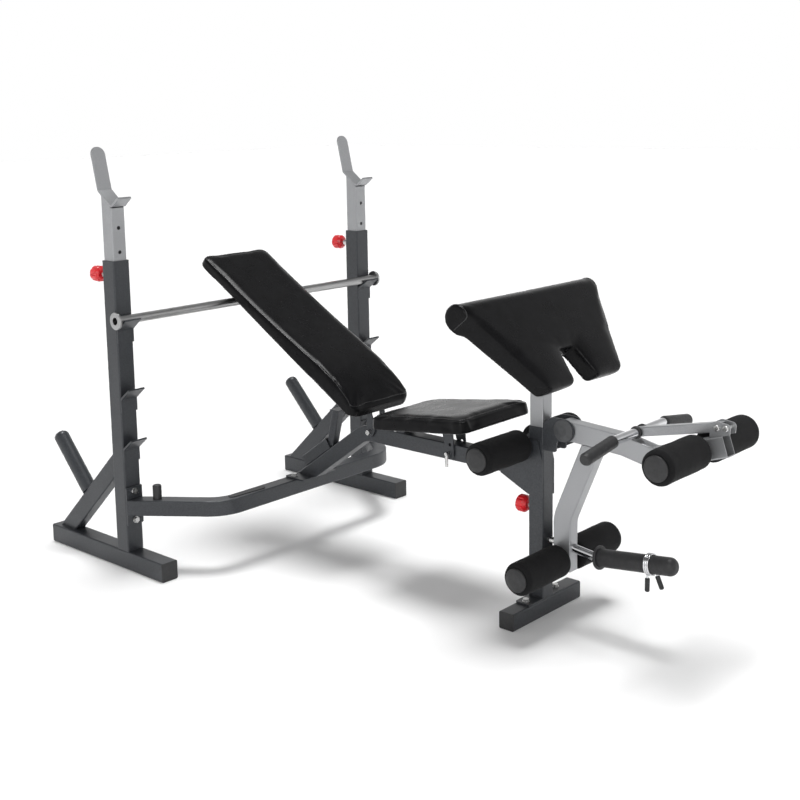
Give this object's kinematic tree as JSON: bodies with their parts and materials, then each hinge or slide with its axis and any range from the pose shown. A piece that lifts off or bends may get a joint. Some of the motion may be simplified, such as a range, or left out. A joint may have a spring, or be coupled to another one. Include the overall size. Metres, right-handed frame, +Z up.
{
  "type": "olympic weight bench with rack",
  "caption": "Weight bench with a free-standing bar rack, inclined backrest, tilting seat, preacher pad, leg lever with foam rollers, plate horn and hinged curl bar.",
  "frame": {"origin": "on the floor, under the centre of the bounding box", "axes": "+X from the rack towards the leg lever, +Y to the left of a lifter who lies on the bench with the head at the rack, +Z up"},
  "size_m": [2.1973, 1.17, 1.337],
  "materials": {
    "frame_paint": "charcoal powder coat, fine satin",
    "silver_paint": "light silver-grey powder coat, satin",
    "bar_steel": "plain drawn steel tube, satin",
    "zinc": "zinc-plated fasteners",
    "chrome": "polished chrome plate",
    "red_plastic": "glossy red moulded plastic",
    "black_plastic": "black moulded plastic",
    "grey_plastic": "dark grey moulded plastic",
    "vinyl": "black upholstery vinyl, satin",
    "foam": "black closed-cell foam, matte",
    "grip_rubber": "black rubber grip, slightly textured"
  },
  "bodies": {
    "frame": {"rack_feet": "frame_paint", "uprights": "frame_paint", "rack_braces": "frame_paint", "storage_pegs": "frame_paint", "spotter_hooks": "frame_paint", "upright_bushings": "black_plastic", "pin_housings": "zinc", "crossmember": "frame_paint", "bolt_plates": "frame_paint", "frame_bolts": "zinc", "crossmember_pegs": "black_plastic", "badge_plate": "black_plastic", "main_beam": "frame_paint", "flat_rest_post": "frame_paint", "post_gussets": "frame_paint", "front_post": "frame_paint", "front_foot": "frame_paint", "foot_end_caps": "black_plastic", "pivot_ears": "frame_paint", "hinge_pins": "zinc", "pivot_covers": "grey_plastic", "hold_axle": "zinc", "hold_roller_caps": "black_plastic"},
    "hook_right": {"hook_post_right": "silver_paint", "j_hook_right": "silver_paint"},
    "hook_left": {"hook_post_left": "silver_paint", "j_hook_left": "silver_paint"},
    "rack_pull_right": {"rack_pin_right": "zinc", "rack_knob_right": "red_plastic"},
    "rack_pull_left": {"rack_pin_left": "zinc", "rack_knob_left": "red_plastic"},
    "post_pull": {"post_pin": "zinc", "post_knob": "red_plastic"},
    "rest_bar": {"support_bar": "bar_steel"},
    "backrest": {"backrest_pad": "vinyl", "backrest_frame": "frame_paint"},
    "seat": {"seat_pad": "vinyl", "seat_frame": "frame_paint"},
    "seat_lock": {"seat_lock_pin": "zinc"},
    "preacher": {"curl_pad": "vinyl", "curl_post": "silver_paint"},
    "lever": {"lever_upper_arm": "silver_paint", "lever_lower_arm": "silver_paint", "lever_bushing": "black_plastic", "lever_axles": "zinc", "lever_roller_caps": "black_plastic", "weight_horn": "chrome", "horn_sleeve": "grip_rubber", "clevis_bolts": "zinc"},
    "curl_attachment": {"curl_arm": "silver_paint", "curl_bar": "chrome", "curl_bar_grips": "grip_rubber"},
    "collar": {"spring_collar": "chrome", "spring_collar_grips": "grip_rubber"},
    "hold_roller_right": {"hold_foam_right": "foam"},
    "hold_roller_left": {"hold_foam_left": "foam"},
    "lower_roller_right": {"lower_foam_right": "foam"},
    "lower_roller_left": {"lower_foam_left": "foam"},
    "forward_roller_right": {"forward_foam_right": "foam"},
    "forward_roller_left": {"forward_foam_left": "foam"}
  },
  "joints": [
    {"name": "hook_height_right", "type": "slide", "parent": "frame", "child": "hook_right", "axis": [0, 0, 1], "range_m": [-0.15, 0.15]},
    {"name": "hook_height_left", "type": "slide", "parent": "frame", "child": "hook_left", "axis": [0, 0, 1], "range_m": [-0.15, 0.15]},
    {"name": "rack_pull_right", "type": "slide", "parent": "frame", "child": "rack_pull_right", "axis": [-1, 0, 0], "range_m": [0, 0.012], "stiffness_N_per_m": 900, "springref_m": -0.004},
    {"name": "rack_pull_left", "type": "slide", "parent": "frame", "child": "rack_pull_left", "axis": [-1, 0, 0], "range_m": [0, 0.012], "stiffness_N_per_m": 900, "springref_m": -0.004},
    {"name": "post_pull", "type": "slide", "parent": "frame", "child": "post_pull", "axis": [-1, 0, 0], "range_m": [0, 0.012], "stiffness_N_per_m": 900, "springref_m": -0.004},
    {"name": "rest_bar_roll", "type": "hinge", "parent": "frame", "child": "rest_bar", "pos_m": [-0.6542, 0, 0.808], "axis": [0, 1, 0], "continuous": true},
    {"name": "backrest_tilt", "type": "hinge", "parent": "frame", "child": "backrest", "pos_m": [-0.1135, 0, 0.433], "axis": [0, 1, 0], "range_deg": [0, 35]},
    {"name": "seat_tilt", "type": "hinge", "parent": "frame", "child": "seat", "pos_m": [0.0065, 0, 0.466], "axis": [0, 1, 0], "range_deg": [0, 7.5]},
    {"name": "seat_lock_pull", "type": "slide", "parent": "seat", "child": "seat_lock", "axis": [0, -1, 0], "range_m": [0, 0.018]},
    {"name": "preacher_height", "type": "slide", "parent": "frame", "child": "preacher", "axis": [0, 0, 1], "range_m": [-0.04, 0.15]},
    {"name": "leg_lever", "type": "hinge", "parent": "frame", "child": "lever", "pos_m": [0.6115, 0, 0.556], "axis": [0, -1, 0], "range_deg": [0, 40]},
    {"name": "curl_arm_hinge", "type": "hinge", "parent": "lever", "child": "curl_attachment", "pos_m": [1.0635, 0, 0.637], "axis": [0, 1, 0], "range_deg": [0, 75]},
    {"name": "collar_slide", "type": "slide", "parent": "lever", "child": "collar", "axis": [0.9925, 0, 0.1219], "range_m": [-0.08, 0.03]},
    {"name": "hold_roller_right_spin", "type": "hinge", "parent": "frame", "child": "hold_roller_right", "pos_m": [0.4695, 0, 0.493], "axis": [0, 1, 0], "continuous": true},
    {"name": "hold_roller_left_spin", "type": "hinge", "parent": "frame", "child": "hold_roller_left", "pos_m": [0.4695, 0, 0.493], "axis": [0, 1, 0], "continuous": true},
    {"name": "lower_roller_right_spin", "type": "hinge", "parent": "lever", "child": "lower_roller_right", "pos_m": [0.6015, 0, 0.185], "axis": [0, 1, 0], "continuous": true},
    {"name": "lower_roller_left_spin", "type": "hinge", "parent": "lever", "child": "lower_roller_left", "pos_m": [0.6015, 0, 0.185], "axis": [0, 1, 0], "continuous": true},
    {"name": "forward_roller_right_spin", "type": "hinge", "parent": "lever", "child": "forward_roller_right", "pos_m": [1.0175, 0, 0.572], "axis": [0, 1, 0], "continuous": true},
    {"name": "forward_roller_left_spin", "type": "hinge", "parent": "lever", "child": "forward_roller_left", "pos_m": [1.0175, 0, 0.572], "axis": [0, 1, 0], "continuous": true}
  ]
}
